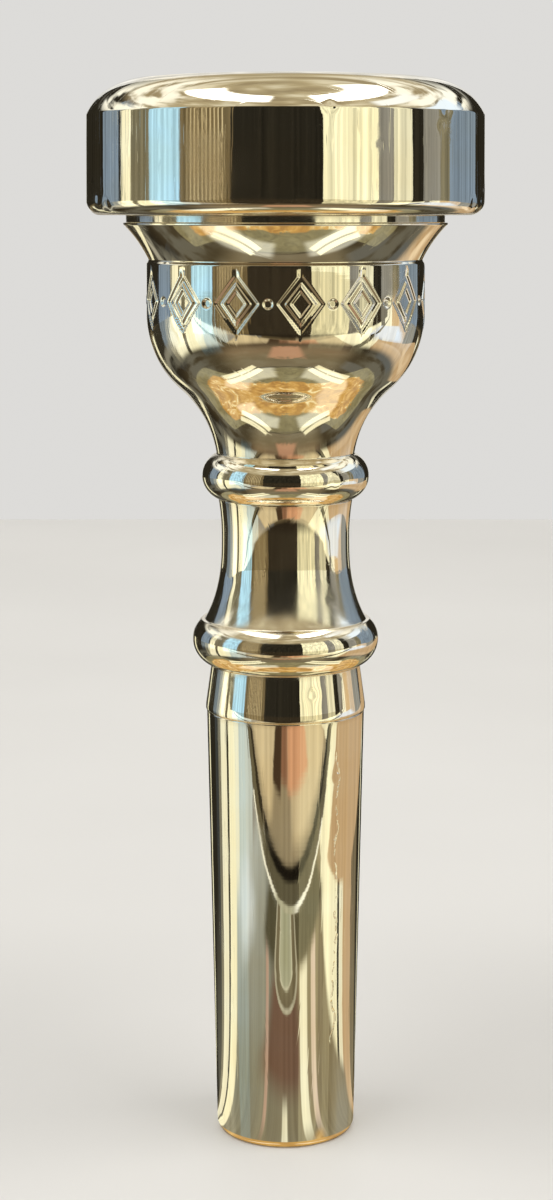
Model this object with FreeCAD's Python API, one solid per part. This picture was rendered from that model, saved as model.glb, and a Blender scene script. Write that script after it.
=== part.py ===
import FreeCAD, Part
import math
import os

# A modular brass-wind mouthpiece, turned about +Z and standing on its shank end.
# The origin is the centre of the shank's end face. Everything is in millimetres.

# ---- driving dimensions ------------------------------------------------------

LENGTH = 71.25              # shank end to the highest ring of the rim
RIM_R = 13.5                # outside of the rim
SHANK_END_R = 4.64          # the taper carried down to the end face
SHANK_TAPER = 1 / 40        # radius gained per millimetre of height (1:20 on diameter)
SHANK_TOP = 28.6            # where the collar sits on the sleeve
COLLAR_TOP = 31.65
LOWER_BEAD_TOP = 34.72
WAIST_Z = 40.3              # height of the waist's narrowest place
CUP_BASE = 42.9             # seam between the backbore and the cup
UPPER_BEAD_TOP = 46.0
BAND_TOP = 58.9             # top of the straight engraved band round the cup
FLARE_TOP = 61.65
RIM_BASE = 62.15            # the rim's flat underside, seated on the cup

BAND_R = 9.45
FLARE_R = 11.05
WAIST_FOOT_R = 5.48         # where the waist stands on the lower bead
WAIST_R = 4.35              # the narrowest place of the backbore

# air passage
THROAT_R = 2.2
CUP_FLOOR = 51.5            # where the funnel of the cup runs into the throat
SPIGOT_TIP = 49.0           # top end of the backbore, inside the cup
THROAT_END = 45.0           # the backbore starts to widen below this
BORE_EXIT_R = 3.3

# sleeve on the stem
STEM_R = 3.95
SLEEVE_GAP = 0.03           # radial sliding clearance
SLEEVE_LIP = 0.6            # thickness of the lip that closes the sleeve's lower end
STEM_LIFT = 0.05            # the stem stops this far short of the lip

# screw joints: a smooth land by the shoulder, a seal groove, then the thread
PITCH = 0.75
THREAD_DEPTH = 0.40
CREST = 0.10                # flat on top of the thread's ridge
FLANK_SLOPE = math.tan(math.radians(30))
RADIAL_GAP = 0.05           # between crest and root, and between land and bore
FLANK_GAP = 0.05            # along the axis, on each side of the ridge
SEAL_CORD = 0.78            # thickness of both O-rings
SEAL_GAP = 0.03             # round the O-ring, to the land and to its groove

BACKBORE_SCREW_R = 3.6
BACKBORE_SEAL_Z = 44.36     # the cup's groove is behind its bead
RIM_SCREW_R = 10.3
RIM_SEAL_Z = 63.15
CUP_LIP = 67.0              # top of the cup's spigot, inside the rim
CUP_LIP_R = 8.15            # the cup's mouth, level with the rim's inner wall

EDGE = 0.12                 # small rounds on turned edges


# ---- helpers -----------------------------------------------------------------

def at(r, z):
    """A point of a turned outline: distance from the axis, and height."""
    return FreeCAD.Vector(r, 0, z)


def turned(start, *steps):
    """Turn a closed outline about Z.

    A step is the end of a straight line (r, z), or the middle and the end of
    an arc ((r, z), (r, z)). The last point is joined back to the first.
    """
    edges = []
    here = start
    for step in steps + (start,):
        if isinstance(step[0], tuple):
            middle, end = step
            arc = Part.Arc(at(*here), at(*middle), at(*end))
            edges.append(arc.toShape())
        else:
            end = step
            edges.append(Part.LineSegment(at(*here), at(*end)).toShape())
        here = end
    face = Part.Face(Part.Wire(edges))
    return face.revolve(FreeCAD.Vector(), FreeCAD.Vector(0, 0, 1), 360)


def on_circle(centre, radius, degrees):
    """The point of a circle at an angle counted from straight outwards."""
    angle = math.radians(degrees)
    return (centre[0] + radius * math.cos(angle),
            centre[1] + radius * math.sin(angle))


def arc(centre, radius, first, last):
    """An arc step for turned(), from one angle to another."""
    return (on_circle(centre, radius, (first + last) / 2),
            on_circle(centre, radius, last))


def bowed(a, b, bow):
    """An arc step from a to b, bowed out of its chord (positive is away from Z)."""
    run = (b[0] - a[0], b[1] - a[1])
    span = math.hypot(*run)
    outwards = math.copysign(1, run[1])
    middle = ((a[0] + b[0]) / 2 + outwards * bow * run[1] / span,
              (a[1] + b[1]) / 2 - outwards * bow * run[0] / span)
    return middle, b


def shank_r(z):
    """Radius of the tapered shank at a height."""
    return SHANK_END_R + SHANK_TAPER * z


def waist_point(share):
    """A point of the waist, from its foot (0) up to its narrowest place (1)."""
    swell = (WAIST_FOOT_R - WAIST_R) * (1 - share) ** 2.7
    return WAIST_R + swell, LOWER_BEAD_TOP + (WAIST_Z - LOWER_BEAD_TOP) * share


def passage_r(z):
    """Radius of the air passage below the throat, widening to its exit."""
    share = (THROAT_END - z) / THROAT_END
    return THROAT_R + (BORE_EXIT_R - THROAT_R) * min(1, max(0, share))


def ridge_half_width(major_r, r):
    """Half the thickness of the thread's ridge at a radius."""
    return CREST / 2 + (major_r - r) * FLANK_SLOPE


def helical_ridge(major_r, inner_r, outer_r, extra, base_z, first_turn, last_turn):
    """A right-handed ridge wound from one turn to another above base_z.

    Its flanks follow the thread of the given major radius, each moved out
    along the axis by extra. It runs from inner_r to outer_r.
    """
    low = ridge_half_width(major_r, inner_r) + extra
    high = ridge_half_width(major_r, outer_r) + extra
    corners = [at(inner_r, -low), at(outer_r, -high), at(outer_r, high), at(inner_r, low)]
    section = Part.makePolygon(corners + corners[:1])
    height = (last_turn - first_turn) * PITCH
    path = Part.makeHelix(PITCH, height, (inner_r + outer_r) / 2)
    sweep = Part.BRepOffsetAPI.MakePipeShell(path)
    sweep.setFrenetMode(True)
    sweep.add(section)
    sweep.build()
    sweep.makeSolid()
    ridge = sweep.shape()
    ridge.rotate(FreeCAD.Vector(), FreeCAD.Vector(0, 0, 1), 360 * first_turn)
    ridge.translate(FreeCAD.Vector(0, 0, base_z + first_turn * PITCH))
    return ridge


def male_thread(major_r, base_z, first_turn, last_turn):
    """The ridge of an outside thread, rooted a little inside its core."""
    root_r = major_r - THREAD_DEPTH
    return helical_ridge(major_r, root_r - 0.06, major_r, 0, base_z, first_turn, last_turn)


def female_thread(major_r, base_z, first_turn, last_turn):
    """The tool that cuts the matching inside thread, with its clearances."""
    bore_r = major_r - THREAD_DEPTH + RADIAL_GAP
    return helical_ridge(major_r, bore_r - 0.08, major_r + RADIAL_GAP, FLANK_GAP,
                         base_z, first_turn, last_turn)


def seal_ring(land_r, height):
    """An O-ring that stands just clear of its land and its groove."""
    middle_r = land_r + SEAL_GAP + SEAL_CORD / 2
    return Part.makeTorus(middle_r, SEAL_CORD / 2).translated(FreeCAD.Vector(0, 0, height))


def seal_groove(land_r, seal_z):
    """Outer radius, bottom and top of the groove that holds an O-ring."""
    half = SEAL_CORD / 2 + SEAL_GAP
    return land_r + 2 * SEAL_GAP + SEAL_CORD, seal_z - half, seal_z + half


def thread_span(seal_z, tip_z):
    """Height where a thread starts, above its seal, and its turns up to the tip."""
    base_z = seal_z + SEAL_CORD / 2 + 0.58
    return base_z, (tip_z - 0.5 - base_z) / PITCH


# ---- pieces ------------------------------------------------------------------

def shank_sleeve():
    """The tapered shank: a sleeve that slides on the backbore's stem."""
    bore_r = STEM_R + SLEEVE_GAP
    end_round = 0.45
    corner = (SHANK_END_R - end_round + SHANK_TAPER * end_round, end_round)
    top_edge = 0.1
    return turned(
        (BORE_EXIT_R, 0),
        (corner[0], 0),
        arc(corner, end_round, -90, 0),
        (shank_r(SHANK_TOP - top_edge), SHANK_TOP - top_edge),
        (shank_r(SHANK_TOP) - top_edge, SHANK_TOP),
        (bore_r, SHANK_TOP),
        (bore_r, SLEEVE_LIP),
        (BORE_EXIT_R, SLEEVE_LIP),
    )


def backbore():
    """The stem, its collar and bead, the waist, and the screw that enters the cup."""
    stem_end = SLEEVE_LIP + STEM_LIFT
    collar_r = 5.42
    collar_round = 0.15
    land_top = BACKBORE_SEAL_Z + 0.1
    root_r = BACKBORE_SCREW_R - THREAD_DEPTH
    parts = 3
    waist = [(waist_point((i + 0.5) / parts), waist_point((i + 1) / parts))
             for i in range(parts)]
    blank = turned(
        (passage_r(stem_end), stem_end),
        (STEM_R - EDGE, stem_end),
        (STEM_R, stem_end + EDGE),
        (STEM_R, SHANK_TOP),
        (collar_r - collar_round, SHANK_TOP),
        arc((collar_r - collar_round, SHANK_TOP + collar_round), collar_round, -90, 0),
        (5.05, COLLAR_TOP),
        bowed((5.05, COLLAR_TOP), (5.70, LOWER_BEAD_TOP), 0.92),
        waist_point(0),
        *waist,
        bowed(waist_point(1), (4.57, CUP_BASE), -0.055),
        (BACKBORE_SCREW_R, CUP_BASE),
        (BACKBORE_SCREW_R, land_top),
        (root_r, land_top + 0.2),
        (root_r, SPIGOT_TIP - 0.2),
        (root_r - 0.2, SPIGOT_TIP),
        (THROAT_R, SPIGOT_TIP),
        (THROAT_R, THROAT_END),
    )
    thread_z, turns = thread_span(BACKBORE_SEAL_Z, SPIGOT_TIP)
    return blank.fuse(male_thread(BACKBORE_SCREW_R, thread_z, 0, turns))


def cup():
    """The bead, the bowl, the engraved band and flare, and the screw for the rim."""
    # threaded socket in the base
    socket_r = BACKBORE_SCREW_R + RADIAL_GAP
    socket_thread_r = socket_r - THREAD_DEPTH
    groove_r, groove_low, groove_high = seal_groove(BACKBORE_SCREW_R, BACKBORE_SEAL_Z)
    socket_top = SPIGOT_TIP + 0.1

    # the bowl's two tangent arcs, hollow above the bead and then round
    round_r = 6.8
    hollow_r = 7.26
    lean = 131
    belly = (BAND_R - round_r, 55.5)
    hollow = on_circle(belly, round_r + hollow_r, lean - 180)
    foot = 180 - math.degrees(math.asin((UPPER_BEAD_TOP - hollow[1]) / hollow_r))

    # spigot that enters the rim
    land_top = RIM_SEAL_Z + 0.1
    root_r = RIM_SCREW_R - THREAD_DEPTH

    flare_low = (9.32, 59.12)
    flare_high = (FLARE_R - EDGE, FLARE_TOP - EDGE)
    blank = turned(
        (socket_r, CUP_BASE),
        (4.57, CUP_BASE),
        bowed((4.57, CUP_BASE), on_circle(hollow, hollow_r, foot), 1.05),
        arc(hollow, hollow_r, foot, lean),
        arc(belly, round_r, lean - 180, 0),
        (BAND_R, BAND_TOP - EDGE),
        arc((BAND_R - EDGE, BAND_TOP - EDGE), EDGE, 0, 90),
        flare_low,
        bowed(flare_low, flare_high, -0.12),
        (FLARE_R, FLARE_TOP - EDGE / 2),
        (FLARE_R - EDGE / 2, FLARE_TOP),
        (FLARE_R - 0.22, FLARE_TOP),
        (FLARE_R - 0.22, RIM_BASE),
        (RIM_SCREW_R, RIM_BASE),
        (RIM_SCREW_R, land_top),
        (root_r, land_top + 0.2),
        (root_r, CUP_LIP - 0.2),
        (root_r - 0.2, CUP_LIP),
        (CUP_LIP_R, CUP_LIP),
        bowed((CUP_LIP_R, CUP_LIP), (THROAT_R, CUP_FLOOR), 0.75),
        (THROAT_R, socket_top),
        (socket_thread_r, socket_top),
        (socket_thread_r, groove_high),
        (groove_r, groove_high),
        (groove_r, groove_low),
        (socket_r, groove_low),
    )
    socket_z, socket_turns = thread_span(BACKBORE_SEAL_Z, SPIGOT_TIP)
    socket = female_thread(BACKBORE_SCREW_R, socket_z, -1.2, socket_turns + 0.1)
    screw_z, screw_turns = thread_span(RIM_SEAL_Z, CUP_LIP)
    screw = male_thread(RIM_SCREW_R, screw_z, 0, screw_turns)
    return blank.cut(socket).fuse(screw)


def rim():
    """The rim that meets the lips, with its own inside thread and seal groove."""
    bore_r = RIM_SCREW_R + RADIAL_GAP
    thread_r = bore_r - THREAD_DEPTH
    groove_r, groove_low, groove_high = seal_groove(RIM_SCREW_R, RIM_SEAL_Z)
    ceiling = CUP_LIP + 0.1
    foot = 0.95
    bite_r = 8.25
    crown = (10.5, LENGTH)
    blank = turned(
        (bore_r, RIM_BASE),
        (RIM_R - foot, RIM_BASE),
        arc((RIM_R - foot, RIM_BASE + foot), foot, -90, 0),
        (RIM_R, 68.9),
        bowed((RIM_R, 68.9), (11.87, 70.72), 0.2),
        bowed((11.87, 70.72), crown, 0.06),
        bowed(crown, (bite_r + 0.45, LENGTH - 0.75), -0.2),
        bowed((bite_r + 0.45, LENGTH - 0.75), (bite_r, LENGTH - 1.9), -0.12),
        (CUP_LIP_R + 0.02, ceiling),
        (thread_r, ceiling),
        (thread_r, groove_high),
        (groove_r, groove_high),
        (groove_r, groove_low),
        (bore_r, groove_low),
    )
    thread_z, turns = thread_span(RIM_SEAL_Z, CUP_LIP)
    return blank.cut(female_thread(RIM_SCREW_R, thread_z, -1.2, turns + 0.1))


def main():
    os.makedirs("parts", exist_ok=True)
    pieces = {
        "shank_sleeve": shank_sleeve(),
        "backbore": backbore(),
        "backbore_o_ring": seal_ring(BACKBORE_SCREW_R, BACKBORE_SEAL_Z),
        "cup": cup(),
        "rim_o_ring": seal_ring(RIM_SCREW_R, RIM_SEAL_Z),
        "rim": rim(),
    }
    for node, shape in pieces.items():
        solids = shape.Solids
        print(node, "valid" if shape.isValid() else "NOT VALID", len(solids), "solid",
              round(shape.Volume, 2), "mm3", shape.BoundBox)
        shape.exportStep(f"parts/{node}.step")


main()
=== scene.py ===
import math

import bpy
import numpy as np
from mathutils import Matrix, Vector


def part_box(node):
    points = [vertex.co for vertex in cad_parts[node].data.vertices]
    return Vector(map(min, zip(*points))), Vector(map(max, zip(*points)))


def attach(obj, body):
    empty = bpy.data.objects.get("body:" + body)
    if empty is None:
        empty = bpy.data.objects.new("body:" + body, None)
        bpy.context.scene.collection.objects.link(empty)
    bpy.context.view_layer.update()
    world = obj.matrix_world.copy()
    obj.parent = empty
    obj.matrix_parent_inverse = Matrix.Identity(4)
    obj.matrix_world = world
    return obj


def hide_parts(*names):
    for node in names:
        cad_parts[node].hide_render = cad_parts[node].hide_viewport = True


# A modular brass-wind mouthpiece: four turned, silver-plated pieces and two O-rings.
# Outlines are in millimetres, as distance from the axis and height, and MM makes metres.

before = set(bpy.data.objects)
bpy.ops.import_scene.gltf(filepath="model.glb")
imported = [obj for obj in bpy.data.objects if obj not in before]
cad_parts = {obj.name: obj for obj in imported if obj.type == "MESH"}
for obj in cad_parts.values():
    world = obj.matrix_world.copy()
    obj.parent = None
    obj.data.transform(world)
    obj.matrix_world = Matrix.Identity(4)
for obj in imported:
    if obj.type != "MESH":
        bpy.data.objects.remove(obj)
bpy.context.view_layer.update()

MM = 0.001

# ---- driving dimensions, in millimetres --------------------------------------

SLEEVE_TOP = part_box("shank_sleeve")[1].z / MM
STEM_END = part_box("backbore")[0].z / MM
SPIGOT_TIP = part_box("backbore")[1].z / MM
CUP_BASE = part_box("cup")[0].z / MM
CUP_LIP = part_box("cup")[1].z / MM
RIM_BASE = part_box("rim")[0].z / MM
RIM_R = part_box("rim")[1].x / MM
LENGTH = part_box("rim")[1].z / MM

# heights of the turned steps
COLLAR_TOP = 31.65
LOWER_BEAD_TOP = 34.72
WAIST_Z = 40.3
UPPER_BEAD_TOP = 46.0
BAND_TOP = 58.9
FLARE_TOP = 61.65
RIM_SHOULDER = 68.9         # top of the rim's straight side

# radii of the turned steps
SHANK_END_R = 4.64
SHANK_TAPER = 1 / 40        # radius gained per millimetre of height
COLLAR_R = 5.42
COLLAR_NECK_R = 5.05
LOWER_BEAD_TOP_R = 5.70
WAIST_FOOT_R = 5.48
WAIST_R = 4.35
CUP_FOOT_R = 4.57           # at the seam between the backbore and the cup
BAND_R = 9.45
CREASE = (9.32, 59.12)      # where the flare rises from the band
FLARE_R = 11.05
CROWN_R = 10.5              # the rim's highest ring
BITE_R = 8.25               # the rim's inside edge

# the air passage, and the sleeve on its stem
THROAT_R = 2.2
THROAT_END = 45.0
BORE_EXIT_R = 3.3
CUP_FLOOR = 51.5
CUP_LIP_R = 8.15
STEM_R = 3.95
SLEEVE_BORE_R = 3.98
SLEEVE_LIP = 0.6

# the two screw joints: a smooth land, a seal in its groove, then the thread
PITCH = 0.75
THREAD_DEPTH = 0.40
CREST = 0.10
RADIAL_GAP = 0.05
FLANK_GAP = 0.05
FLANK_SLOPE = math.tan(math.radians(30))
LAND_END = 0.1              # the land ends this far above the middle of its seal
LEAD_IN = 0.2               # chamfer at each end of an outside thread
THREAD_START = 0.58         # first turn above the seal
THREAD_STOP = 0.5           # last turn below the tip
NUT_START = -1.2            # turns; an inside thread starts before the outside one
NUT_SPARE = 0.1             # turns; and ends after it
TIP_GAP = 0.1               # between a screw's tip and the end of its socket
BACKBORE_SCREW_R = 3.6
BACKBORE_SEAL_Z = 44.36
RIM_SCREW_R = 10.3
RIM_SEAL_Z = 63.15
SEAL_CORD = 0.78
SEAL_GAP = 0.03

COLUMNS = 360               # points round a turned piece
CUP_COLUMNS = 840           # the cup has finer ones, for its engraving
SEAL_COLUMNS = 240

# ---- turned outlines ---------------------------------------------------------


class Outline:
    """A closed outline, followed point by point: distance from the axis, height.

    Each point also keeps a skip: only every skip-th column of its ring is made.
    """

    def __init__(self, r, z, skip=1):
        self.skip = skip
        self.points = [(r, z)]
        self.skips = [skip]

    def add(self, r, z):
        self.points.append((r, z))
        self.skips.append(self.skip)

    def rings(self, skip):
        """From here on, make only every skip-th column."""
        self.skip = skip
        return self

    def to(self, r, z, parts=1):
        """A straight line, cut into parts."""
        r0, z0 = self.points[-1]
        for i in range(1, parts + 1):
            self.add(r0 + (r - r0) * i / parts, z0 + (z - z0) * i / parts)
        return self

    def arc(self, centre, radius, first, last, parts=10):
        """An arc about a centre, from one angle to another, counted from outwards."""
        for i in range(parts + 1):
            angle = math.radians(first + (last - first) * i / parts)
            point = (centre[0] + radius * math.cos(angle), centre[1] + radius * math.sin(angle))
            if math.dist(point, self.points[-1]) > 0.004:
                self.add(*point)
        return self

    def bow(self, r, z, rise, parts=12):
        """An arc to a point, which rises from its chord; positive is away from the axis."""
        a, b = np.array(self.points[-1]), np.array((r, z))
        run = b - a
        half = np.linalg.norm(run) / 2
        side = np.array((run[1], -run[0])) / (2 * half) * math.copysign(1, run[1])
        radius = (half ** 2 + rise ** 2) / (2 * rise)
        centre = (a + b) / 2 - side * (radius - rise)
        sweep = 2 * math.asin(half / abs(radius))
        if abs(rise) > half:
            sweep = 2 * math.pi - sweep
        for i in range(1, parts + 1):
            angle = -sweep / 2 + sweep * i / parts
            away = side * radius * math.cos(angle)
            along = run / (2 * half) * abs(radius) * math.sin(angle)
            self.add(*(centre + away + along))
        return self


def softened(outline, size, parts=4):
    """The outline's points with each sharp corner rounded, cutting back by size at most."""
    gentle = 17             # degrees; corners that turn less are left as they are
    most = 0.45             # of the line on either side may be cut back
    points = outline.points
    out, skips = [], []
    for i, corner in enumerate(points):
        corner = np.array(corner)
        before = np.array(points[i - 1]) - corner
        after = np.array(points[(i + 1) % len(points)]) - corner
        l0, l1 = np.linalg.norm(before), np.linalg.norm(after)
        turn = math.degrees(math.acos(np.clip(-before @ after / (l0 * l1), -1, 1)))
        if turn < gentle:
            out.append(corner)
            skips.append(outline.skips[i])
            continue
        cut = min(size, most * l0, most * l1)
        a, b = corner + before / l0 * cut, corner + after / l1 * cut
        for k in range(parts + 1):
            t = k / parts
            out.append((1 - t) ** 2 * a + 2 * t * (1 - t) * corner + t ** 2 * b)
            skips.append(outline.skips[i])
    return np.array(out), skips


def lathe(name, outline, columns=COLUMNS, soft=0.06, relief=None):
    """Turn a closed outline into a mesh object with exact smooth normals.

    relief(angle, r, z) gives how far each point moves out from the axis.
    """
    rows, skips = softened(outline, soft)
    angle = np.linspace(0, 2 * math.pi, columns, endpoint=False)[None, :]
    r = np.repeat(rows[:, :1], columns, axis=1)
    z = np.repeat(rows[:, 1:], columns, axis=1)
    if relief:
        r = r + relief(np.broadcast_to(angle, r.shape), r, z)
    grid = np.stack([r * np.cos(angle), r * np.sin(angle), z], axis=-1) * MM

    along = np.roll(grid, -1, axis=0) - np.roll(grid, 1, axis=0)
    around = np.roll(grid, -1, axis=1) - np.roll(grid, 1, axis=1)
    normal = np.cross(around, along)
    normal /= np.maximum(np.linalg.norm(normal, axis=-1, keepdims=True), 1e-15)

    rings, count = [], 0
    for skip in skips:
        ring = [count + j // skip for j in range(columns)]
        rings.append(ring + ring[:1])
        count += columns // skip
    vertices = np.concatenate([grid[i, ::skip] for i, skip in enumerate(skips)])
    normals = np.concatenate([normal[i, ::skip] for i, skip in enumerate(skips)])

    # a face between a fine ring and a coarse one takes all the fine ring's points
    faces = []
    for i, low in enumerate(rings):
        k = (i + 1) % len(rings)
        wide = max(skips[i], skips[k])
        for j in range(0, columns, wide):
            faces.append(low[j:j + wide + 1:skips[i]] + rings[k][j:j + wide + 1:skips[k]][::-1])
    return mesh_object(name, vertices, faces, normals)


def mesh_object(name, vertices, faces, normals):
    """A smooth mesh object with the given normals at its vertices."""
    mesh = bpy.data.meshes.new(name)
    mesh.from_pydata(vertices.tolist(), [], faces)
    mesh.shade_smooth()
    mesh.normals_split_custom_set_from_vertices(normals.tolist())
    mesh.update()
    piece = bpy.data.objects.new(name, mesh)
    bpy.context.scene.collection.objects.link(piece)
    return piece


# ---- shapes ------------------------------------------------------------------

def shank_r(z):
    """Radius of the tapered shank at a height."""
    return SHANK_END_R + SHANK_TAPER * z


def passage_r(z):
    """Radius of the air passage below the throat, widening to its exit."""
    share = (THROAT_END - z) / THROAT_END
    return THROAT_R + (BORE_EXIT_R - THROAT_R) * min(1, max(0, share))


def seal_groove(land_r, seal_z):
    """Outer radius, bottom and top of the groove that holds an O-ring."""
    half = SEAL_CORD / 2
    return land_r + 2 * SEAL_GAP + SEAL_CORD, seal_z - half - SEAL_GAP, seal_z + half + SEAL_GAP


def thread_span(seal_z, tip_z):
    """Height where a thread starts, above its seal, and its turns up to the tip."""
    base_z = seal_z + SEAL_CORD / 2 + THREAD_START
    return base_z, (tip_z - THREAD_STOP - base_z) / PITCH


def thread_height(major_r, extra, r0, angle, z, base_z, first_turn, last_turn):
    """How far a helical ridge stands out of a surface of radius r0, at each point.

    extra widens the ridge along the axis and lets it reach the radial gap, for a nut.
    """
    fade = 0.06             # turns over which the ridge rises at its ends
    turn = (z - base_z) / PITCH - angle / (2 * math.pi)
    whole = np.round(turn)
    off = np.abs(turn - whole) * PITCH
    at_turn = whole + angle / (2 * math.pi)
    top = CREST / 2 + extra
    outer = major_r + (RADIAL_GAP if extra else 0)
    ridge = np.clip(major_r - (off - top) / FLANK_SLOPE, r0, outer) - r0
    fade_in = np.clip((at_turn - first_turn) / fade, 0, 1)
    fade_out = np.clip((last_turn - at_turn) / fade, 0, 1)
    return ridge * fade_in * fade_out


def screw_ridge(major_r, seal_z, tip_z, angle, r, z):
    """The outside thread's ridge on its core, and nothing elsewhere."""
    root_r = major_r - THREAD_DEPTH
    base_z, turns = thread_span(seal_z, tip_z)
    core = (np.abs(r - root_r) < 0.01) & (z > seal_z + LAND_END)
    ridge = thread_height(major_r, 0, root_r, angle, z, base_z, 0, turns)
    return np.where(core, ridge, 0)


def nut_groove(major_r, seal_z, tip_z, low, angle, r, z):
    """The inside thread's groove in its bore, above low, and nothing elsewhere."""
    bore_r = major_r + RADIAL_GAP - THREAD_DEPTH
    base_z, turns = thread_span(seal_z, tip_z)
    bore = (np.abs(r - bore_r) < 0.01) & (z > low) & (z < tip_z + TIP_GAP - 0.01)
    groove = thread_height(major_r, FLANK_GAP, bore_r, angle, z, base_z,
                           NUT_START, turns + NUT_SPARE)
    return np.where(bore, groove, 0)


def from_front(degrees):
    """An angle about Z, counted from the side that faces the camera, towards +X."""
    return math.radians(degrees - 90)


def knocks(angle, r, z, spots):
    """Depth of small dents; each spot is degrees from the front, height, size and depth."""
    depth = 0
    for degrees, height, size, deep in spots:
        turn = (angle - from_front(degrees) + math.pi) % (2 * math.pi) - math.pi
        apart = (turn * r) ** 2 + (z - height) ** 2
        depth = depth + deep * np.exp(-apart / (2 * size ** 2))
    return depth


def shank_sleeve():
    """The tapered shank, with its round end and the bore for the stem."""
    end_round = 0.45
    top_edge = 0.1
    corner = (SHANK_END_R - end_round + SHANK_TAPER * end_round, end_round)
    dents = [(44, 19.5, 0.35, 0.010), (41, 24.8, 0.3, 0.02), (-70, 0.7, 0.4, 0.05),
             (30, 0.4, 0.35, 0.04), (150, 12.0, 0.5, 0.04), (-140, 21.0, 0.4, 0.03)]

    shape = Outline(BORE_EXIT_R, 0, skip=2)
    shape.to(corner[0] - 0.1, 0)
    shape.rings(1).to(corner[0], 0)
    shape.arc(corner, end_round, -90, 0)
    shape.to(shank_r(SLEEVE_TOP - top_edge), SLEEVE_TOP - top_edge, parts=60)
    shape.to(shank_r(SLEEVE_TOP) - top_edge, SLEEVE_TOP)
    shape.rings(2).to(SLEEVE_BORE_R, SLEEVE_TOP)
    shape.to(SLEEVE_BORE_R, SLEEVE_LIP)
    shape.to(BORE_EXIT_R, SLEEVE_LIP)

    def relief(angle, r, z):
        outside = r > STEM_R + 0.5
        return -np.where(outside, knocks(angle, r, z, dents), 0)

    return lathe("shank_sleeve_silver", shape, soft=0.05, relief=relief)


def backbore():
    """The stem, its collar and bead, the waist, and the screw that enters the cup."""
    land_top = BACKBORE_SEAL_Z + LAND_END
    root_r = BACKBORE_SCREW_R - THREAD_DEPTH
    dents = [(62, 34.3, 0.3, 0.05), (40, 36.6, 0.3, 0.03), (-58, 37.5, 0.4, 0.03),
             (20, 30.4, 0.3, 0.03), (-120, 33.0, 0.35, 0.05)]

    shape = Outline(passage_r(STEM_END), STEM_END, skip=2)
    shape.to(STEM_R, STEM_END)
    shape.to(STEM_R, SLEEVE_TOP)
    shape.to(COLLAR_R - 0.5, SLEEVE_TOP)
    shape.rings(1).to(COLLAR_R, SLEEVE_TOP)
    shape.to(COLLAR_R, SLEEVE_TOP + 0.3)
    shape.to(COLLAR_NECK_R, COLLAR_TOP, parts=8)
    shape.bow(LOWER_BEAD_TOP_R, LOWER_BEAD_TOP, 0.92, parts=24)
    waist_parts = 44
    for i in range(waist_parts + 1):
        share = i / waist_parts
        swell = (WAIST_FOOT_R - WAIST_R) * (1 - share) ** 2.7
        shape.add(WAIST_R + swell, LOWER_BEAD_TOP + (WAIST_Z - LOWER_BEAD_TOP) * share)
    shape.bow(CUP_FOOT_R, CUP_BASE, -0.055, parts=20)
    shape.rings(2).to(BACKBORE_SCREW_R, CUP_BASE)
    shape.to(BACKBORE_SCREW_R, land_top)
    shape.to(root_r, land_top + LEAD_IN)
    shape.to(root_r, SPIGOT_TIP - LEAD_IN, parts=80)
    shape.to(root_r - LEAD_IN, SPIGOT_TIP)
    shape.to(THROAT_R, SPIGOT_TIP)
    shape.to(THROAT_R, THROAT_END)

    def relief(angle, r, z):
        outside = (r > WAIST_R - 0.05) & (z > SLEEVE_TOP) & (z < CUP_BASE)
        ridge = screw_ridge(BACKBORE_SCREW_R, BACKBORE_SEAL_Z, SPIGOT_TIP, angle, r, z)
        return ridge - np.where(outside, knocks(angle, r, z, dents), 0)

    return lathe("backbore_silver", shape, relief=relief)


def engraving(angle, z):
    """Depth of the band's ornament: outlined lozenges, a small one in each, and dots between."""
    count = 14
    first = 6               # degrees from the front to the nearest lozenge
    middle_z = 56.45
    half_width, half_height = 1.25, 1.62
    stroke, wall = 0.27, 0.16
    depth = 0.11
    step = 2 * math.pi / count
    turn = (angle - from_front(first) + step / 2) % step - step / 2
    u, v = turn * BAND_R, z - middle_z
    slant = half_width * half_height / math.hypot(half_width, half_height)
    ring = np.abs(u) / half_width + np.abs(v) / half_height
    outline = np.abs(ring - 1) * slant
    core = np.maximum(ring - 0.3, 0) * slant
    dot = np.maximum(np.hypot((np.abs(turn) - step / 2) * BAND_R, v) - 0.1, 0)
    off = np.minimum(np.minimum(outline, core), dot)
    edge = np.clip((stroke - off) / wall, 0, 1)
    return depth * edge * edge * (3 - 2 * edge)


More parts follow.
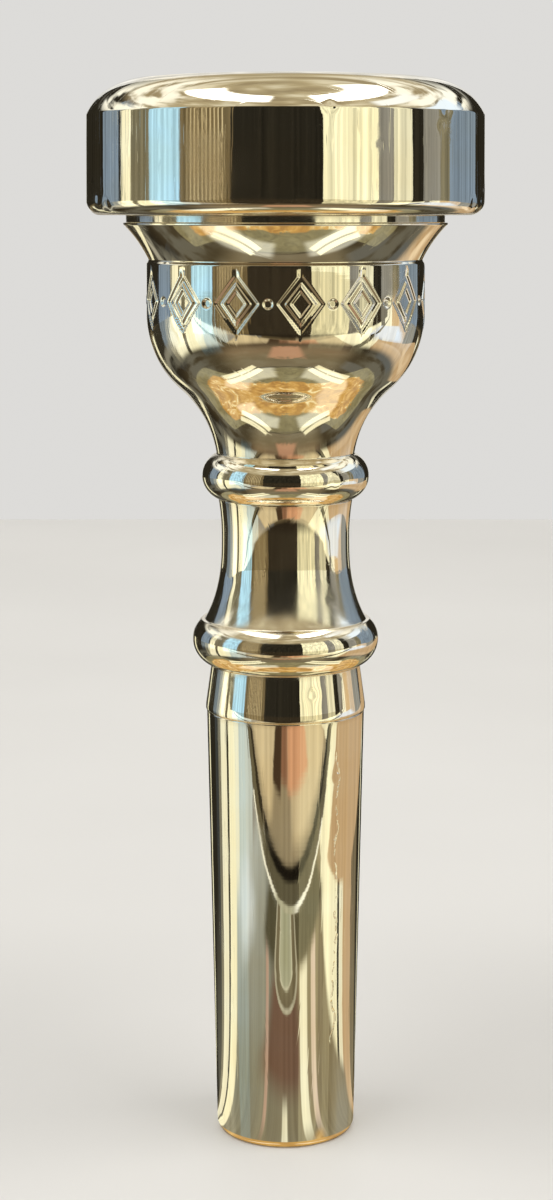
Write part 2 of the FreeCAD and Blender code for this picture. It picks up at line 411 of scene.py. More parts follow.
def cup():
    """The bead, the bowl, the engraved band and flare, and the screw for the rim."""
    # the threaded socket in the base
    socket_r = BACKBORE_SCREW_R + RADIAL_GAP
    socket_thread_r = socket_r - THREAD_DEPTH
    socket_top = SPIGOT_TIP + TIP_GAP
    groove_r, groove_low, groove_high = seal_groove(BACKBORE_SCREW_R, BACKBORE_SEAL_Z)

    # the bowl's two tangent arcs, hollow above the bead and then round
    round_r, hollow_r, lean = 6.8, 7.26, 131
    belly = (BAND_R - round_r, 55.5)
    slant = math.radians(lean - 180)
    hollow = (belly[0] + (round_r + hollow_r) * math.cos(slant),
              belly[1] + (round_r + hollow_r) * math.sin(slant))
    foot = math.asin((UPPER_BEAD_TOP - hollow[1]) / hollow_r)
    neck_r = hollow[0] - hollow_r * math.cos(foot)

    # the spigot that enters the rim
    land_top = RIM_SEAL_Z + LAND_END
    root_r = RIM_SCREW_R - THREAD_DEPTH
    engraved_top = 58.2
    dents = [(-52, 54.0, 0.5, 0.03), (66, 52.6, 0.4, 0.04), (35, 44.4, 0.3, 0.04),
             (-35, 44.0, 0.3, 0.03), (140, 50.5, 0.5, 0.04)]

    shape = Outline(socket_r, CUP_BASE, skip=6)
    shape.to(4.2, CUP_BASE)
    shape.rings(2).to(CUP_FOOT_R, CUP_BASE)
    shape.bow(neck_r, UPPER_BEAD_TOP, 1.05, parts=14)
    shape.arc(hollow, hollow_r, 180 - math.degrees(foot), lean, parts=11)
    shape.arc(belly, round_r, lean - 180, -9, parts=11)
    shape.rings(1).arc(belly, round_r, -8, 0, parts=6)
    shape.to(BAND_R, engraved_top, parts=44)
    shape.rings(2).to(BAND_R, BAND_TOP)
    shape.to(*CREASE)
    shape.bow(FLARE_R - 0.02, FLARE_TOP - 0.14, -0.12, parts=9)
    shape.to(FLARE_R - 0.02, FLARE_TOP)
    shape.to(FLARE_R - 0.22, FLARE_TOP)
    shape.to(FLARE_R - 0.22, RIM_BASE)
    shape.rings(6).to(RIM_SCREW_R, RIM_BASE)
    shape.to(RIM_SCREW_R, land_top)
    shape.to(root_r, land_top + LEAD_IN)
    shape.to(root_r, CUP_LIP - LEAD_IN, parts=44)
    shape.rings(2).to(root_r - LEAD_IN, CUP_LIP)
    shape.to(CUP_LIP_R, CUP_LIP)
    shape.bow(THROAT_R, CUP_FLOOR, 0.75, parts=12)
    shape.rings(6).to(THROAT_R, socket_top)
    shape.to(socket_thread_r, socket_top)
    shape.to(socket_thread_r, groove_high, parts=60)
    shape.to(groove_r, groove_high)
    shape.to(groove_r, groove_low)
    shape.to(socket_r, groove_low)

    def relief(angle, r, z):
        band = (r > BAND_R - 0.3) & (r < BAND_R + 0.01) & (z < BAND_TOP)
        outside = (r > neck_r) & (z < BAND_TOP)
        ridge = screw_ridge(RIM_SCREW_R, RIM_SEAL_Z, CUP_LIP, angle, r, z)
        groove = nut_groove(BACKBORE_SCREW_R, BACKBORE_SEAL_Z, SPIGOT_TIP, groove_high,
                            angle, r, z)
        cut = np.where(band, engraving(angle, z), 0)
        cut = cut + np.where(outside, knocks(angle, r, z, dents), 0)
        return ridge + groove - cut

    return lathe("cup_silver", shape, columns=CUP_COLUMNS, relief=relief)


def rim():
    """The rim that meets the lips, with its own inside thread and seal groove."""
    bore_r = RIM_SCREW_R + RADIAL_GAP
    thread_r = bore_r - THREAD_DEPTH
    groove_r, groove_low, groove_high = seal_groove(RIM_SCREW_R, RIM_SEAL_Z)
    ceiling = CUP_LIP + TIP_GAP
    foot = 0.95             # round at the rim's lower edge
    dents = [(-66, 63.2, 0.34, 0.10), (-60, 62.8, 0.3, 0.08), (-71, 64.0, 0.25, 0.03),
             (74, 63.1, 0.3, 0.10), (79, 63.8, 0.25, 0.04), (66, 62.9, 0.25, 0.06),
             (50, 68.9, 0.3, 0.06), (48, 67.9, 0.25, 0.03), (12, 69.0, 0.22, 0.05),
             (26, 66.6, 0.20, 0.010), (-75, 69.3, 0.4, 0.05),
             (165, 63.4, 0.4, 0.10), (-150, 69.4, 0.35, 0.06), (115, 66.0, 0.3, 0.03)]

    shape = Outline(bore_r, RIM_BASE, skip=2)
    shape.to(RIM_R - foot - 0.5, RIM_BASE)
    shape.rings(1).to(RIM_R - foot, RIM_BASE)
    shape.arc((RIM_R - foot, RIM_BASE + foot), foot, -90, 0, parts=14)
    shape.to(RIM_R, RIM_SHOULDER, parts=24)
    shape.bow(11.87, 70.72, 0.2, parts=14)
    shape.bow(CROWN_R, LENGTH, 0.06, parts=10)
    shape.bow(BITE_R + 0.45, LENGTH - 0.75, -0.2, parts=10)
    shape.bow(BITE_R, LENGTH - 1.9, -0.12, parts=8)
    shape.rings(2).to(CUP_LIP_R + 0.02, ceiling)
    shape.to(thread_r, ceiling)
    shape.to(thread_r, groove_high, parts=56)
    shape.to(groove_r, groove_high)
    shape.to(groove_r, groove_low)
    shape.to(bore_r, groove_low)

    def relief(angle, r, z):
        outside = r > RIM_R - 2.2
        groove = nut_groove(RIM_SCREW_R, RIM_SEAL_Z, CUP_LIP, groove_high + 0.01,
                            angle, r, z)
        return groove - np.where(outside, knocks(angle, r, z, dents), 0)

    return lathe("rim_silver", shape, relief=relief)


def seal_ring(name, land_r, height):
    """A round O-ring that stands just clear of its land and its groove."""
    cord_r = SEAL_CORD / 2
    shape = Outline(land_r + SEAL_GAP + SEAL_CORD, height)
    shape.arc((land_r + SEAL_GAP + cord_r, height), cord_r, 15, 345, parts=22)
    return lathe(name, shape, columns=SEAL_COLUMNS)


# ---- shader nodes ------------------------------------------------------------

def new_material(name):
    """A new material, its node tree and its main shader."""
    material = bpy.data.materials.new(name)
    material.use_nodes = True
    tree = material.node_tree
    return material, tree, tree.nodes["Principled BSDF"]


def node(tree, kind, links=None, **settings):
    """A node with its settings, and its inputs linked or set by name or number."""
    made = tree.nodes.new(kind)
    for key, value in settings.items():
        setattr(made, key, value)
    for key, value in (links or {}).items():
        if isinstance(value, bpy.types.NodeSocket):
            tree.links.new(value, made.inputs[key])
        else:
            made.inputs[key].default_value = value
    return made


def calc(tree, operation, *values):
    """The result of a math node."""
    return node(tree, "ShaderNodeMath", dict(enumerate(values)), operation=operation).outputs[0]


def dot_product(tree, vector, direction):
    """How far a vector goes in a direction."""
    made = node(tree, "ShaderNodeVectorMath", {0: vector, 1: direction}, operation="DOT_PRODUCT")
    return made.outputs["Value"]


def step_up(tree, value, low, high):
    """0 below low, 1 above high, smooth between; low may be above high."""
    return node(tree, "ShaderNodeMapRange", {
        "Value": value, "From Min": low, "From Max": high},
        interpolation_type="SMOOTHSTEP").outputs["Result"]


def between(tree, value, low, high, soft):
    """1 between low and high, fading over soft at each end."""
    rising = step_up(tree, value, low - soft / 2, low + soft / 2)
    falling = step_up(tree, value, high + soft / 2, high - soft / 2)
    return calc(tree, "MULTIPLY", rising, falling)


def ramp(tree, value, stops, interpolation="LINEAR"):
    """The colour of a ramp; a stop is a position and a colour."""
    made = node(tree, "ShaderNodeValToRGB", {"Fac": value})
    colours = made.color_ramp
    colours.interpolation = interpolation
    colours.elements[0].position = stops[0][0]
    colours.elements[1].position = stops[-1][0]
    for position, _ in stops[1:-1]:
        colours.elements.new(position)
    for element, (_, colour) in zip(colours.elements, stops):
        element.color = (*colour, 1)
    return made.outputs["Color"]


def mix(tree, share, a, b):
    """A colour between a and b."""
    made = node(tree, "ShaderNodeMix", {0: share}, data_type="RGBA")
    for socket, value in ((made.inputs[6], a), (made.inputs[7], b)):
        if isinstance(value, bpy.types.NodeSocket):
            tree.links.new(value, socket)
        else:
            socket.default_value = (*value, 1)
    return made.outputs[2]


def multiply(tree, a, b):
    """The product of two colours."""
    made = node(tree, "ShaderNodeMix", {0: 1.0, 6: a, 7: b}, data_type="RGBA",
                blend_type="MULTIPLY")
    return made.outputs[2]


def noise(tree, vector, scale, detail=4.0, distortion=0.0):
    """Cloudy noise from 0 to 1, mostly near the middle."""
    return node(tree, "ShaderNodeTexNoise", {
        "Vector": vector, "Scale": scale, "Detail": detail,
        "Distortion": distortion}).outputs["Fac"]


def stretched_noise(tree, place, rotation, scale, detail=2.0):
    """Noise drawn out into lines, or into rings where only its Z scale is large."""
    turned = node(tree, "ShaderNodeMapping", {
        "Vector": place, "Rotation": rotation, "Scale": scale}).outputs["Vector"]
    return noise(tree, turned, 1.0, detail)


def bump(tree, height, distance, normal=None):
    """The normal of a surface raised by a height from 0 to 1, over a normal before it."""
    links = {"Strength": 1.0, "Distance": distance, "Height": height}
    if normal:
        links["Normal"] = normal
    return node(tree, "ShaderNodeBump", links).outputs["Normal"]


def near_point(tree, place, degrees, r, height, inner, outer):
    """1 within inner millimetres of a place on the surface, 0 beyond outer."""
    angle = from_front(degrees)
    spot = (r * math.cos(angle) * MM, r * math.sin(angle) * MM, height * MM)
    apart = node(tree, "ShaderNodeVectorMath", {0: place, 1: spot}, operation="DISTANCE")
    return step_up(tree, apart.outputs["Value"], outer * MM, inner * MM)


# ---- materials ---------------------------------------------------------------

def seam_dirt(tree, height):
    """How much grime sits in the corners between the turned steps, by height."""
    seams = [28.55, 31.65, 34.75, 42.9, 46.0, 58.95, 61.75, 62.25]
    spread = 0.16
    ramp_top = 80           # the ramp runs from the floor to this height
    stops = []
    for z in seams:
        for offset, dark in ((-spread, 0.0), (0.0, 1.0), (spread, 0.0)):
            stops.append(((z + offset) / ramp_top, (dark,) * 3))
    return ramp(tree, calc(tree, "DIVIDE", height, ramp_top * MM), stops)


def plate_roughness(tree, place, height, dirt, rubbed):
    """Almost a mirror, with haze in smears and where it is held, and duller grime and rubs."""
    smears = noise(tree, place, 95.0, 8.0, 1.2)
    haze = calc(tree, "MULTIPLY", step_up(tree, smears, 0.46, 0.72), 0.075)
    held = calc(tree, "MAXIMUM", between(tree, height, 34.6 * MM, 37.6 * MM, 2.4 * MM),
                between(tree, height, 29.0 * MM, 31.3 * MM, 1.0 * MM))
    held = calc(tree, "MULTIPLY", held, step_up(tree, smears, 0.36, 0.60))
    blur = calc(tree, "MULTIPLY_ADD", held, 0.10, haze)
    blur = calc(tree, "ADD", blur, 0.022)
    blur = calc(tree, "ADD", blur, calc(tree, "MULTIPLY", dirt, 0.25))
    return calc(tree, "ADD", blur, calc(tree, "MULTIPLY", rubbed, 0.05))


def scratch(tree, place, height):
    """A wandering line of chips down the right of the sleeve."""
    angle = from_front(41)
    outwards = dot_product(tree, place, (math.cos(angle), math.sin(angle), 0))
    aside = dot_product(tree, place, (-math.sin(angle), math.cos(angle), 0))
    wander = calc(tree, "MULTIPLY", calc(tree, "SUBTRACT", noise(tree, place, 700.0, 3.0), 0.5),
                  1.1 * MM)
    off = calc(tree, "ABSOLUTE", calc(tree, "ADD", aside, wander))
    line = step_up(tree, off, 0.11 * MM, 0.02 * MM)
    line = calc(tree, "MULTIPLY", line, step_up(tree, outwards, 0, 2 * MM))
    line = calc(tree, "MULTIPLY", line, step_up(tree, height, 6.5 * MM, 7.5 * MM))
    line = calc(tree, "MULTIPLY", line, step_up(tree, height, 26.6 * MM, 25.6 * MM))
    return calc(tree, "MULTIPLY", line, step_up(tree, noise(tree, place, 1500.0), 0.46, 0.56))


def plate_relief(tree, place, height, rubbed):
    """The polish's slight waves and turning rings, and the marks of use."""
    normal = bump(tree, noise(tree, place, 330.0, 2.0), 6e-6)
    rings = stretched_noise(tree, place, (0, 0, 0), (30, 30, 4200), 3.0)
    normal = bump(tree, rings, 3e-7, normal)

    # hairlines in a few directions, each thinned out so that only its crests show
    for rotation, fine in (((0.5, 0.4, 0.9), 9000), ((1.1, 0.2, -0.6), 7000),
                           ((0.1, 1.2, 0.3), 11000)):
        lines = stretched_noise(tree, place, rotation, (140, fine, 140))
        normal = bump(tree, step_up(tree, lines, 0.66, 0.74), 1.2e-6, normal)

    grit = step_up(tree, noise(tree, place, 2600.0, 3.0, 0.8), 0.5, 0.66)
    normal = bump(tree, calc(tree, "MULTIPLY", grit, rubbed), 1.6e-6, normal)
    return bump(tree, scratch(tree, place, height), -1.6e-5, normal)


def silver_plate():
    """Mirror-polished silver plate over brass, handled: hairlines, haze and a warm tarnish."""
    material, tree, shader = new_material("silver_plate")
    place = node(tree, "ShaderNodeTexCoord").outputs["Object"]
    height = node(tree, "ShaderNodeSeparateXYZ", {0: place}).outputs["Z"]
    clouds = noise(tree, place, 210.0, 6.0, 0.4)
    dirt = calc(tree, "MULTIPLY", seam_dirt(tree, height), step_up(tree, clouds, 0.3, 0.6))
    worn_waist = near_point(tree, place, 50, 4.6, 36.5, 0.8, 3.6)
    worn_rim = near_point(tree, place, 50, RIM_R, 67.8, 0.2, 1.7)
    rubbed = calc(tree, "MAXIMUM", worn_waist, worn_rim)

    silver = ramp(tree, clouds, [(0.36, (0.94, 0.88, 0.75)), (0.66, (0.96, 0.94, 0.87))])
    tarnished = mix(tree, calc(tree, "MULTIPLY", dirt, 0.7), silver, (0.42, 0.30, 0.14))
    blur = plate_roughness(tree, place, height, dirt, rubbed)
    normal = plate_relief(tree, place, height, rubbed)
    shader.inputs["Metallic"].default_value = 1.0
    tree.links.new(tarnished, shader.inputs["Base Color"])
    tree.links.new(blur, shader.inputs["Roughness"])
    tree.links.new(normal, shader.inputs["Normal"])
    return material


def seal_rubber():
    """Black nitrile, a little dusty."""
    material, tree, shader = new_material("seal_rubber")
    place = node(tree, "ShaderNodeTexCoord").outputs["Object"]
    dust = noise(tree, place, 1800.0, 5.0)
    shade = ramp(tree, dust, [(0.3, (0.010, 0.010, 0.011)), (0.75, (0.05, 0.05, 0.052))])
    shader.inputs["Roughness"].default_value = 0.5
    tree.links.new(shade, shader.inputs["Base Color"])
    tree.links.new(bump(tree, dust, 6e-6), shader.inputs["Normal"])
    return material


# ---- pieces on their bodies --------------------------------------------------

def dress(piece, body, cad_node, material):
    """Give a piece its material and body, and hide the CAD node it stands for."""
    piece.data.materials.append(material)
    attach(piece, body)
    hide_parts(cad_node)


def make_pieces():
    polished = silver_plate()
    rubber = seal_rubber()
    dress(shank_sleeve(), "sleeve", "shank_sleeve", polished)
    dress(backbore(), "backbore", "backbore", polished)
    dress(cup(), "cup", "cup", polished)
    dress(rim(), "rim", "rim", polished)
    lower_seal = seal_ring("backbore_seal", BACKBORE_SCREW_R, BACKBORE_SEAL_Z)
    dress(lower_seal, "cup_seal", "backbore_o_ring", rubber)
    upper_seal = seal_ring("rim_seal", RIM_SCREW_R, RIM_SEAL_Z)
    dress(upper_seal, "rim_seal", "rim_o_ring", rubber)


# ---- the studio --------------------------------------------------------------
# The camera sees a pale floor and backdrop. Glossy rays, such as the polished metal's,
# see a panelled room and a darker counter instead; the counter is painted on the floor as
# glowing light.

PALE = (0.76, 0.75, 0.73)
DARK = (0.022, 0.019, 0.013)
UMBER = (0.16, 0.12, 0.06)
OLIVE = (0.19, 0.17, 0.11)
SLATE = (0.20, 0.26, 0.34)
GREY = (0.26, 0.25, 0.22)
CREAM = (0.86, 0.82, 0.60)
SKY = (0.46, 0.76, 0.98)
STRAW = (0.98, 0.93, 0.64)
GILT = (0.62, 0.50, 0.28)
TAN = (0.64, 0.52, 0.31)
MIST = (0.55, 0.61, 0.57)
BUFF = (0.54, 0.37, 0.20)
GOLD = (0.60, 0.34, 0.09)
ROSE = (0.66, 0.34, 0.18)
LAMP = (4.0, 4.0, 3.8)      # a bright panel


def bearing(tree, vector):
    """Turns round Z: 0.5 is towards the camera, more is towards +X, 0 and 1 are behind."""
    parts = node(tree, "ShaderNodeSeparateXYZ", {0: vector})
    back = calc(tree, "MULTIPLY", parts.outputs["Y"], -1)
    angle = calc(tree, "ARCTAN2", parts.outputs["X"], back)
    return calc(tree, "MULTIPLY_ADD", angle, 1 / (2 * math.pi), 0.5)


def turn_at(degrees):
    """The bearing, in turns, of a direction in degrees from the camera's, towards +X."""
    return (degrees + 180) / 360


def colours_around(tree, turn, sweep):
    """Flat colours one after another round Z; each starts at its own bearing in degrees."""
    stops = [(turn_at(degrees), colour) for degrees, colour in sweep]
    return ramp(tree, turn, stops, "CONSTANT")


def studio_walls(tree, towards, turn):
    """Tall soft panels between dark drapes, as the polished metal sees them."""
    # the edges waver a little, and folds run down each panel
    wobble = calc(tree, "SUBTRACT", noise(tree, towards, 9.0, 3.0), 0.5)
    edge = calc(tree, "MULTIPLY_ADD", wobble, 0.008, turn)
    walls = colours_around(tree, edge, [
        (-180, PALE), (-166, DARK), (-129, SLATE), (-110, DARK), (-107, CREAM), (-99, OLIVE),
        (-83, SKY), (-62, UMBER), (-31, DARK), (20, STRAW), (53, GREY), (62, CREAM), (75, DARK),
        (84, GREY), (98, OLIVE), (106, SLATE), (138, DARK), (166, PALE)])
    folds = stretched_noise(tree, towards, (0, 0, 0), (26, 26, 1.2), 4.0)
    shade = ramp(tree, folds, [(0.32, (0.62, 0.62, 0.60)), (0.5, (0.92, 0.92, 0.9)),
                               (0.7, (1.35, 1.33, 1.28))])
    walls = multiply(tree, walls, shade)

    # a row of narrow gilded slats in front of the brown drape
    slats_in_turn = 150
    wave = calc(tree, "SINE", calc(tree, "MULTIPLY", turn, 2 * math.pi * slats_in_turn))
    slats = step_up(tree, wave, 0.45, 0.8)
    inside = between(tree, turn, turn_at(-57), turn_at(-34), 0.006)
    return mix(tree, calc(tree, "MULTIPLY", slats, inside), walls, GILT)


def studio_room(tree, towards):
    """The walls, the ceiling with its bright panels, and the dark below."""
    rise = node(tree, "ShaderNodeSeparateXYZ", {0: towards}).outputs["Z"]
    turn = bearing(tree, towards)
    patches = stretched_noise(tree, towards, (0, 0, 0), (3.0, 3.0, 13.0), 2.5)
    ceiling = ramp(tree, patches, [(0.38, (0.31, 0.25, 0.15)), (0.52, (0.43, 0.36, 0.22)),
                                   (0.66, (0.66, 0.60, 0.44))])
    room = mix(tree, step_up(tree, rise, 0.50, 0.62), studio_walls(tree, towards, turn), ceiling)

    # bright reflectors high on both sides
    sides = calc(tree, "ABSOLUTE", calc(tree, "SUBTRACT", turn, 0.5))
    glow = calc(tree, "MULTIPLY", between(tree, sides, 0.25, 0.45, 0.08),
                between(tree, rise, 0.34, 0.86, 0.12))
    glow = calc(tree, "MULTIPLY", glow, step_up(tree, patches, 0.40, 0.58))
    room = mix(tree, glow, room, (1.0, 0.98, 0.86))

    # soft bright panels: their bearings in degrees, the heights they span, and their light
    for first, last, low, high, shade in ((-116, -16, 0.850, 0.945, LAMP),
                                          (29, 140, 0.845, 0.945, LAMP),
                                          (68, 118, 0.70, 0.79, (0.95, 0.97, 0.95)),
                                          (96, 132, 0.38, 0.56, (0.80, 0.90, 1.0))):
        inside = calc(tree, "MULTIPLY", between(tree, turn, turn_at(first), turn_at(last), 0.03),
                      between(tree, rise, low, high, 0.022))
        room = mix(tree, inside, room, shade)
    return mix(tree, step_up(tree, rise, -0.10, -0.16), room, UMBER)


def make_world():
    """A plain pale backdrop for the camera, and a panelled studio for the reflections."""
    world = bpy.data.worlds.new("studio")
    world.use_nodes = True
    tree = world.node_tree
    towards = node(tree, "ShaderNodeTexCoord").outputs["Generated"]
    room = studio_room(tree, towards)
    reflected = node(tree, "ShaderNodeBackground", {"Color": room, "Strength": 1.15})
    plain = node(tree, "ShaderNodeBackground", {"Color": (*PALE, 1), "Strength": 0.95})
    glossy = node(tree, "ShaderNodeLightPath").outputs["Is Glossy Ray"]
    both = node(tree, "ShaderNodeMixShader", {
        0: glossy, 1: plain.outputs[0], 2: reflected.outputs[0]})
    tree.links.new(both.outputs[0], tree.nodes["World Output"].inputs["Surface"])
    bpy.context.scene.world = world


def arched_pad(tree, across, ahead, colour):
    """An arched pad on the counter, with a pale border, laid over a colour."""
    short = calc(tree, "MAXIMUM", calc(tree, "SUBTRACT", 38, ahead), 0)
    reach = calc(tree, "SQRT", calc(tree, "ADD", calc(tree, "MULTIPLY", across, across),
                                    calc(tree, "MULTIPLY", short, short)))
    pad = calc(tree, "MULTIPLY", step_up(tree, reach, 11.4, 10.8), step_up(tree, ahead, 51, 49))
    arch = ramp(tree, calc(tree, "DIVIDE", reach, 12), [
        (0.0, (0.36, 0.36, 0.23)), (0.44, (0.42, 0.42, 0.29)), (0.50, (0.60, 0.58, 0.42)),
        (0.56, (0.20, 0.17, 0.10)), (0.78, (0.17, 0.14, 0.08)), (0.86, (0.50, 0.47, 0.34)),
        (0.95, (0.32, 0.28, 0.18))])
    return mix(tree, pad, colour, arch)


def painted_counter_light(tree, place):
    """What the polished metal sees of the counter it stands on, at a low angle, painted as
    glowing light.

    Distances are in millimetres: across to the right, and ahead towards the camera.
    """
    sized = node(tree, "ShaderNodeVectorMath", {0: place, 1: (1000, -1000, 1000)},
                 operation="MULTIPLY").outputs["Vector"]
    parts = node(tree, "ShaderNodeSeparateXYZ", {0: sized})
    across = parts.outputs["X"]
    ahead = calc(tree, "MULTIPLY_ADD", across, 0.12, parts.outputs["Y"])
    around = bearing(tree, place)

    def lay(colour, *rectangles):
        """Soft-edged rectangles over a colour: wide across, deep ahead, edge and shade."""
        for wide, deep, soft, shade in rectangles:
            inside = calc(tree, "MULTIPLY", between(tree, across, *wide, soft),
                          between(tree, ahead, *deep, soft))
            colour = mix(tree, inside, colour, shade)
        return colour

    # beyond the counter, by direction: windows at the sides and drapes behind, painted as
    # glowing light
    colour = colours_around(tree, around, [
        (-180, DARK), (-152, STRAW), (-147, DARK), (-118, OLIVE), (-110, CREAM), (-97, DARK),
        (-92, STRAW), (-80, CREAM), (-72, MIST), (-50, GREY), (-20, UMBER), (8, TAN),
        (40, STRAW), (83, DARK), (88, CREAM), (97, BUFF), (118, UMBER), (136, DARK),
        (148, CREAM), (153, DARK)])
    everywhere = (-4000, 4000)
    colour = lay(
        colour,
        (everywhere, (120, 4000), 24, (0.02, 0.014, 0.008)),
        # a patch of painted pale blue light off to the right
        ((150, 350), (-60, 80), 40, (0.66, 0.72, 0.82)),
        ((57, 150), (-200, 34), 3, BUFF),
        ((-90, 90), (61, 116), 3, (0.31, 0.25, 0.15)),
        ((-90, -26), (66, 112), 10, TAN),
        ((12, 90), (66, 112), 10, TAN),
        ((4, 50), (84, 116), 7, ROSE),
        ((-12, 4), (86, 116), 6, (0.26, 0.13, 0.07)),
        ((-28, -10), (80, 116), 5, (0.06, 0.035, 0.018)),
        # a painted shadow in dark bands along the counter's front edge
        (everywhere, (50, 61), 1.5, (0.11, 0.095, 0.055)),
        (everywhere, (57, 61.5), 2.0, (0.008, 0.006, 0.004)))

    # the counter's own top, with its slanting right edge, and soft shapes on it
    slant = calc(tree, "MULTIPLY_ADD", ahead, -0.80, across)
    top = calc(tree, "MULTIPLY", between(tree, ahead, -1, 50, 1.5),
               calc(tree, "MULTIPLY", step_up(tree, across, -60, -44),
                    step_up(tree, slant, 17, 13)))
    wood = ramp(tree, calc(tree, "MULTIPLY_ADD", across, 0.01, 0.5), [
        (0.0, (0.44, 0.47, 0.43)), (0.2, (0.31, 0.32, 0.27)), (0.38, (0.24, 0.24, 0.18)),
        (0.55, (0.23, 0.19, 0.11)), (1.0, (0.27, 0.22, 0.12))])
    colour = lay(
        mix(tree, top, colour, wood),
        ((-56, -35), (10, 30), 12, (0.64, 0.70, 0.70)),
        ((-24, -9), (34, 50), 7, (0.09, 0.08, 0.045)),
        ((10, 46), (36, 50), 6, (0.10, 0.085, 0.045)),
        ((-11, 9), (13, 33), 7, (0.17, 0.10, 0.065)))

    # pale streaks of painted light that point at the object: their bearings in degrees, depth
    # and shade
    for first, last, deep, shade in ((-92, -78, (-4, 16), STRAW),
                                     (-29, -25, (6, 34), (0.52, 0.36, 0.27)),
                                     (-4, 2, (0, 11), CREAM),
                                     (21, 32, (6, 35), CREAM),
                                     (38, 45, (6, 35), (0.72, 0.58, 0.45))):
        inside = calc(tree, "MULTIPLY",
                      between(tree, around, turn_at(first), turn_at(last), 0.006),
                      between(tree, ahead, *deep, 5))
        colour = mix(tree, inside, colour, shade)

    # the pad, and a painted highlight along the counter's front edge
    colour = arched_pad(tree, across, ahead, colour)
    painted_edge_highlight = mix(tree, between(tree, across, -14, 12, 10), (1.0, 0.98, 0.80), (0.45, 0.43, 0.29))
    colour = lay(colour, ((-62, 62), (49.4, 51.0), 0.9, painted_edge_highlight))

    # fine streaks in it all, pointing at the object
    fine = node(tree, "ShaderNodeCombineXYZ", {0: calc(tree, "MULTIPLY", around, 55)})
    streaks = ramp(tree, noise(tree, fine.outputs["Vector"], 1.0, 5.0), [
        (0.30, (0.80, 0.78, 0.75)), (0.50, (1.0, 1.0, 1.0)), (0.72, (1.18, 1.18, 1.16))])
    return multiply(tree, colour, streaks)


def painted_steep_counter_light(tree, place, away):
    """What the polished metal sees of the counter from above, where its surface faces down,
    painted as glowing light.

    It is flecked with gold close by, a painted reflection of the warm metal, then olive, then
    dark, with pale bars on both sides, painted reflections of the lamps.
    Distances are in metres, and away is the distance from the axis.
    """
    parts = node(tree, "ShaderNodeSeparateXYZ", {0: place})
    flecks = noise(tree, place, 120.0, 4.0, 1.4)
    # gold flecks close by: a painted reflection of the warm metal
    painted_gold_reflection = ramp(tree, flecks, [(0.36, (0.42, 0.22, 0.06)), (0.50, GOLD),
                               (0.60, (0.74, 0.47, 0.16)), (0.66, (0.98, 0.86, 0.50))])
    olive = ramp(tree, flecks, [(0.35, (0.17, 0.15, 0.08)), (0.65, (0.26, 0.23, 0.12))])
    ragged = calc(tree, "MULTIPLY_ADD", calc(tree, "SUBTRACT", flecks, 0.5), 0.012, away)

    # both rings reach further behind the object than ahead of it
    behind = step_up(tree, parts.outputs["Y"], -0.016, 0.004)
    gold_r = calc(tree, "MULTIPLY_ADD", behind, 0.028, 0.018)
    colour = mix(tree, step_up(tree, calc(tree, "SUBTRACT", ragged, gold_r), 0, 0.002),
                 painted_gold_reflection, olive)
    outside = ramp(tree, calc(tree, "DIVIDE", away, 0.12), [
        (0.335, (0.19, 0.17, 0.10)), (0.345, (0.012, 0.008, 0.005)), (0.36, (0.17, 0.14, 0.09)),
        (0.48, (0.15, 0.12, 0.07)), (0.65, (0.20, 0.14, 0.08)), (0.85, (0.10, 0.07, 0.04))])
    sideways = calc(tree, "ABSOLUTE", calc(tree, "SUBTRACT", bearing(tree, place), 0.5))
    outside = mix(tree, step_up(tree, sideways, 0.12, 0.20), outside, (0.03, 0.022, 0.012))
    olive_r = calc(tree, "MULTIPLY_ADD", behind, 0.022, 0.038)
    colour = mix(tree, step_up(tree, calc(tree, "SUBTRACT", away, olive_r), 0, 0.002),
                 colour, outside)

    # a rosy patch lies ahead
    rosy = calc(tree, "MULTIPLY", between(tree, parts.outputs["X"], -0.017, 0.019, 0.008),
                between(tree, ragged, 0.060, 0.092, 0.008))
    colour = mix(tree, rosy, colour, (0.46, 0.25, 0.15))

    # painted reflections of the lamps: two pale bars side by side on the left, and two on the
    # right, aslant; in millimetres
    aside = calc(tree, "MULTIPLY_ADD", calc(tree, "ABSOLUTE", parts.outputs["X"]), 1000, -31)
    along = calc(tree, "MULTIPLY_ADD", parts.outputs["Y"], 1000, 14)
    length = calc(tree, "MULTIPLY_ADD", aside, -0.385, calc(tree, "MULTIPLY", along, -0.923))
    width = calc(tree, "MULTIPLY_ADD", aside, 0.923, calc(tree, "MULTIPLY", along, -0.385))
    painted_lamp_bars = calc(tree, "MULTIPLY", between(tree, length, -13, 24, 2),
                between(tree, calc(tree, "ABSOLUTE", width), 0.9, 6.0, 0.8))
    return mix(tree, painted_lamp_bars, colour, (1.0, 0.94, 0.64))


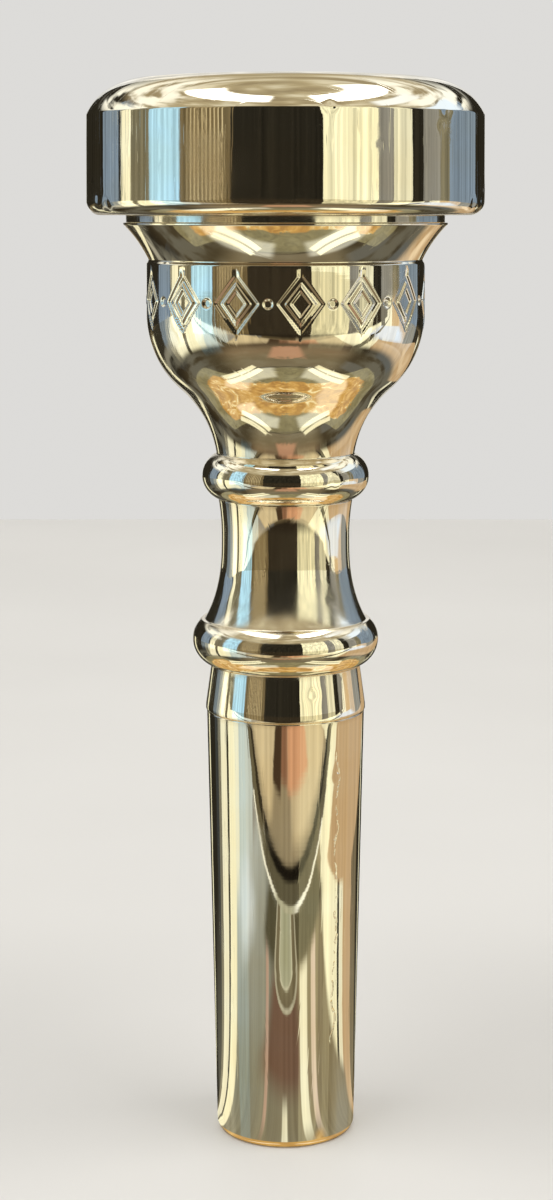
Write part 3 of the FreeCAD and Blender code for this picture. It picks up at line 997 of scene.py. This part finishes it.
def floor_material():
    """A pale, faintly glossy floor; the polished metal mirrors a darker counter instead, which
    is painted on the floor as glowing light.
    """
    material, tree, shader = new_material("floor_pale")
    place = node(tree, "ShaderNodeTexCoord").outputs["Object"]
    pale = ramp(tree, noise(tree, place, 14.0, 3.0), [(0.3, (0.62, 0.61, 0.59)),
                                                      (0.7, (0.66, 0.65, 0.63))])
    tree.links.new(pale, shader.inputs["Base Color"])
    shader.inputs["Roughness"].default_value = 0.42
    shader.inputs["Specular IOR Level"].default_value = 0.22

    # the counter painted as glowing light, with its painted highlights, shadows and reflections,
    # and far away more and more of what it mirrors in turn
    away = node(tree, "ShaderNodeVectorMath", {0: place}, operation="LENGTH").outputs["Value"]
    slope = node(tree, "ShaderNodeLayerWeight", {"Blend": 0.5}).outputs["Facing"]
    painted_counter_view = mix(tree, step_up(tree, slope, 0.57, 0.48), painted_counter_light(tree, place),
               painted_steep_counter_light(tree, place, away))
    # the painted counter glows: an emission stands in for its colours, highlights, shadows and
    # mirrored lamps
    glow = node(tree, "ShaderNodeEmission", {"Color": painted_counter_view})
    sheen = ramp(tree, step_up(tree, away, 0.11, 0.20), [(0.0, (0.10, 0.10, 0.09)),
                                                         (1.0, (0.72, 0.70, 0.64))])
    mirror = node(tree, "ShaderNodeBsdfGlossy", {"Color": sheen, "Roughness": 0.03})
    counter = node(tree, "ShaderNodeAddShader", {0: glow.outputs[0], 1: mirror.outputs[0]})

    glossy = node(tree, "ShaderNodeLightPath").outputs["Is Glossy Ray"]
    both = node(tree, "ShaderNodeMixShader", {
        0: glossy, 1: shader.outputs[0], 2: counter.outputs[0]})
    tree.links.new(both.outputs[0], tree.nodes["Material Output"].inputs["Surface"])
    return material


def make_floor():
    """A plain pale table top, in metres; it ends a little way behind the object."""
    half_width, front, back = 1.5, -3.0, 0.31
    corners = [(-half_width, front, 0), (half_width, front, 0),
               (half_width, back, 0), (-half_width, back, 0)]
    mesh = bpy.data.meshes.new("floor")
    mesh.from_pydata(corners, [], [(0, 1, 2, 3)])
    floor = bpy.data.objects.new("floor", mesh)
    floor.data.materials.append(floor_material())
    bpy.context.scene.collection.objects.link(floor)


def softbox(name, place, size, power, colour):
    """A rectangular lamp aimed at the origin, which no mirror shows."""
    light = bpy.data.lights.new(name, "AREA")
    light.shape = "RECTANGLE"
    light.size, light.size_y = size
    light.energy = power
    light.color = colour
    lamp = bpy.data.objects.new(name, light)
    lamp.location = place
    lamp.rotation_euler = (-Vector(place)).to_track_quat("-Z", "Y").to_euler()
    lamp.visible_glossy = False
    bpy.context.scene.collection.objects.link(lamp)


def make_lights():
    """Two soft lamps overhead; the panels that the metal mirrors are part of the world."""
    softbox("left_panel", (-0.25, -0.12, 0.70), (0.44, 0.16), 1.9, (1.0, 0.99, 0.97))
    softbox("right_panel", (0.29, -0.11, 0.68), (0.42, 0.16), 1.8, (1.0, 0.98, 0.95))


def make_camera():
    """Level with the rim's underside, looking along +Y and slightly down."""
    tilt = 1.5              # degrees
    camera = bpy.data.cameras.new("camera")
    camera.lens = 69.03
    camera.sensor_width = 36.0
    camera.clip_start = 0.005
    camera.shift_x = -0.0075
    camera.shift_y = -0.2724
    eye = bpy.data.objects.new("camera", camera)
    eye.location = (0, -0.1563, 0.0623)
    eye.rotation_euler = (math.radians(90 - tilt), 0, 0)
    bpy.context.scene.collection.objects.link(eye)
    bpy.context.scene.camera = eye


make_pieces()
make_floor()
make_world()
make_lights()
make_camera()
bpy.context.scene.view_settings.view_transform = "Standard"
